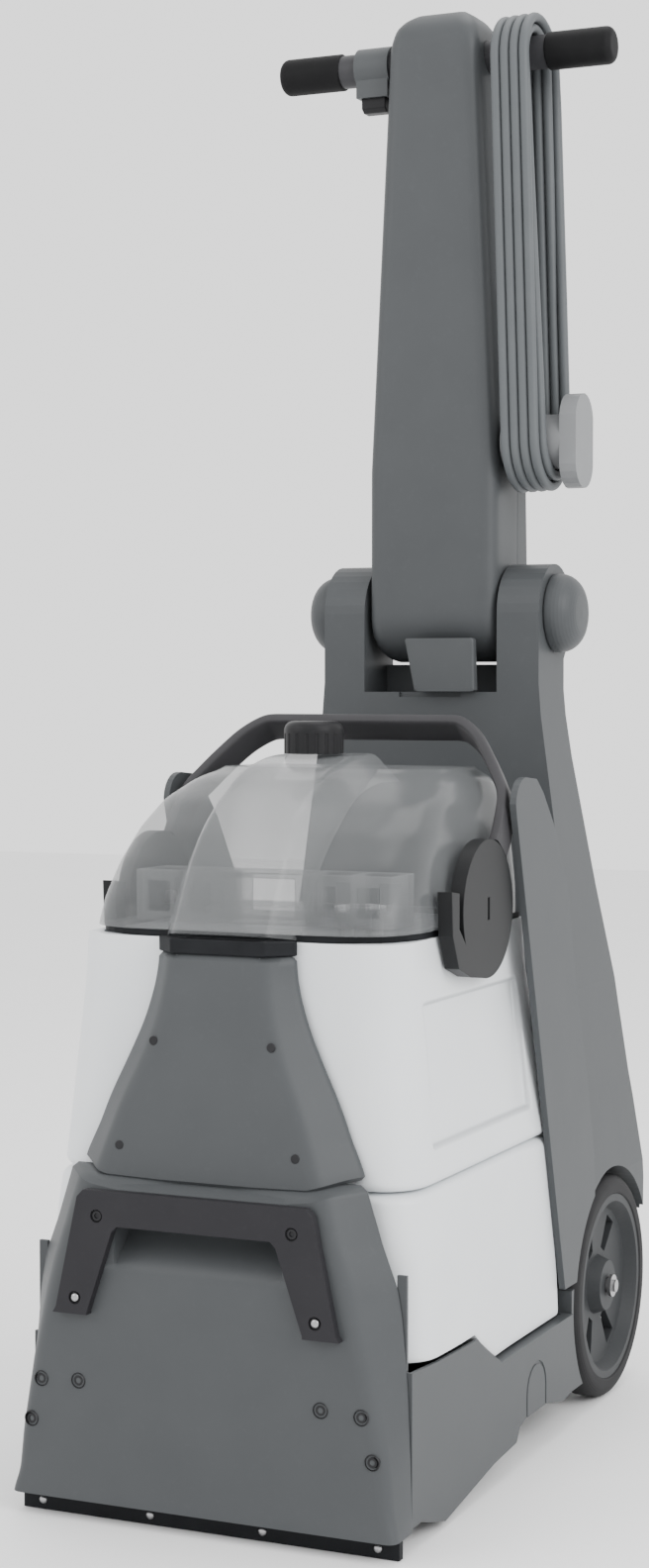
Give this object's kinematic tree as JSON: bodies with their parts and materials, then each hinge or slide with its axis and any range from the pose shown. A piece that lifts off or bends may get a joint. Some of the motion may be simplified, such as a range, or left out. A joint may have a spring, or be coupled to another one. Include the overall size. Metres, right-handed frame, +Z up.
{
  "type": "carpet cleaner machine",
  "caption": "Upright carpet cleaner with a brush base, two lift-off tanks under a clear lid with a bail, rear wheels, a folding mast and a wound power cord.",
  "frame": {"origin": "on the floor, under the middle of the machine", "axes": "+Z up, -Y towards the nozzle, +X towards the side that carries the cord hook"},
  "size_m": [0.293, 0.56, 1.126],
  "materials": {
    "grey_cover": "fine moulded texture",
    "mid_grey": "fine moulded texture",
    "dark_bracket": "satin",
    "black_plastic": "satin",
    "steel": "plated",
    "black_screw": "blackened",
    "duct_grey": "satin",
    "motor_case": "painted",
    "bristle_roll": "nylon",
    "black_rubber": "matt",
    "tyre_rubber": "matt",
    "tank_white": "translucent blow moulding",
    "clear_plastic": "clear and glossy",
    "float_plastic": "gloss",
    "tube_grey": "powder coated",
    "cord_grey": "satin vinyl"
  },
  "bodies": {
    "root": {"base_tray": "grey_cover", "front_shell": "grey_cover", "front_panel": "grey_cover", "panel_band": "black_rubber", "carry_bracket": "dark_bracket", "bright_screws": "steel", "cover_screws": "black_screw", "nozzle_strip": "black_plastic", "suction_duct": "duct_grey", "brush_housing": "black_plastic", "drive_belt": "black_rubber", "brush_motor": "motor_case", "pump": "black_plastic", "spray_jets": "black_plastic", "tank_cradle": "grey_cover", "rear_frame": "grey_cover", "rear_cover": "grey_cover", "vacuum_motor": "motor_case", "pivot_cap_left": "grey_cover", "pivot_cap_right": "grey_cover", "pivot_pin": "steel", "axle": "steel", "axle_bolts": "steel"},
    "brush": {"brush_roll": "bristle_roll", "brush_pulley": "black_plastic"},
    "motor_shaft": {"motor_pulley": "steel"},
    "wheel_left": {"tyre_left": "tyre_rubber", "rim_left": "mid_grey"},
    "wheel_right": {"tyre_right": "tyre_rubber", "rim_right": "mid_grey"},
    "latch": {"mast_latch": "mid_grey"},
    "lower_tank": {"lower_tank": "tank_white", "tank_valve": "black_plastic"},
    "upper_tank": {"upper_tank": "tank_white"},
    "lid": {"tank_seal": "black_rubber", "lid_dome": "clear_plastic", "lid_duct": "clear_plastic", "lid_baffle": "clear_plastic", "float_cage": "float_plastic", "bail_pivots": "steel"},
    "float": {"float_ball": "float_plastic"},
    "cap": {"tank_cap": "black_plastic"},
    "bail": {"bail": "dark_bracket", "latch_disc_left": "dark_bracket", "latch_disc_right": "dark_bracket"},
    "mast": {"mast_front": "grey_cover", "mast_rear": "grey_cover", "handle_tube": "tube_grey", "grip_left": "black_rubber", "grip_right": "black_rubber", "trigger_housing": "mid_grey", "hook_pin": "steel", "strain_relief": "black_rubber", "cord_tube": "cord_grey", "cord_hank": "cord_grey", "cord_tail": "cord_grey", "plug": "black_plastic"},
    "trigger": {"spray_trigger": "black_plastic"},
    "switch": {"power_switch": "black_plastic"},
    "hook": {"cord_hook": "mid_grey"}
  },
  "joints": [
    {"name": "brush_spin", "type": "hinge", "parent": "root", "child": "brush", "pos_m": [0, -0.1995, 0.0335], "axis": [1, 0, 0], "continuous": true},
    {"name": "motor_spin", "type": "hinge", "parent": "root", "child": "motor_shaft", "pos_m": [0, -0.1265, 0.059], "axis": [1, 0, 0], "continuous": true},
    {"name": "wheel_left_spin", "type": "hinge", "parent": "root", "child": "wheel_left", "pos_m": [-0.125, 0.1905, 0.0895], "axis": [1, 0, 0], "continuous": true},
    {"name": "wheel_right_spin", "type": "hinge", "parent": "root", "child": "wheel_right", "pos_m": [0.125, 0.1905, 0.0895], "axis": [1, 0, 0], "continuous": true},
    {"name": "mast_fold", "type": "hinge", "parent": "root", "child": "mast", "pos_m": [0, 0.185, 0.637], "axis": [-1, 0, 0], "range_deg": [0, 90]},
    {"name": "latch_pull", "type": "hinge", "parent": "root", "child": "latch", "pos_m": [0, 0.145, 0.576], "axis": [1, 0, 0], "range_deg": [0, 25], "stiffness_Nm_per_rad": 0.4},
    {"name": "lower_tank_lift", "type": "slide", "parent": "root", "child": "lower_tank", "axis": [0, 0, 1], "range_m": [0, 0.42]},
    {"name": "upper_tank_lift", "type": "slide", "parent": "lower_tank", "child": "upper_tank", "axis": [0, 0, 1], "range_m": [0, 0.28]},
    {"name": "lid_lift", "type": "slide", "parent": "upper_tank", "child": "lid", "axis": [0, 0, 1], "range_m": [0, 0.12]},
    {"name": "float_rise", "type": "slide", "parent": "lid", "child": "float", "axis": [0, 0, 1], "range_m": [0, 0.036]},
    {"name": "cap_turn", "type": "hinge", "parent": "lid", "child": "cap", "pos_m": [0, -0.082, 0.5283], "axis": [0, 0, 1], "range_deg": [0, 90]},
    {"name": "bail_swing", "type": "hinge", "parent": "lid", "child": "bail", "pos_m": [0, -0.082, 0.4185], "axis": [1, 0, 0], "range_deg": [0, 70]},
    {"name": "trigger_pull", "type": "slide", "parent": "mast", "child": "trigger", "axis": [0, 0, 1], "range_m": [0, 0.005], "stiffness_N_per_m": 300},
    {"name": "switch_rock", "type": "hinge", "parent": "mast", "child": "switch", "pos_m": [0, 0.205, 0.96], "axis": [1, 0, 0], "range_deg": [0, 20]},
    {"name": "hook_turn", "type": "hinge", "parent": "mast", "child": "hook", "pos_m": [0, 0.177, 0.775], "axis": [1, 0, 0], "range_deg": [0, 180]}
  ],
  "couplings": [
    {"joint": "motor_spin", "follows": "brush_spin", "ratio": 1.75}
  ]
}
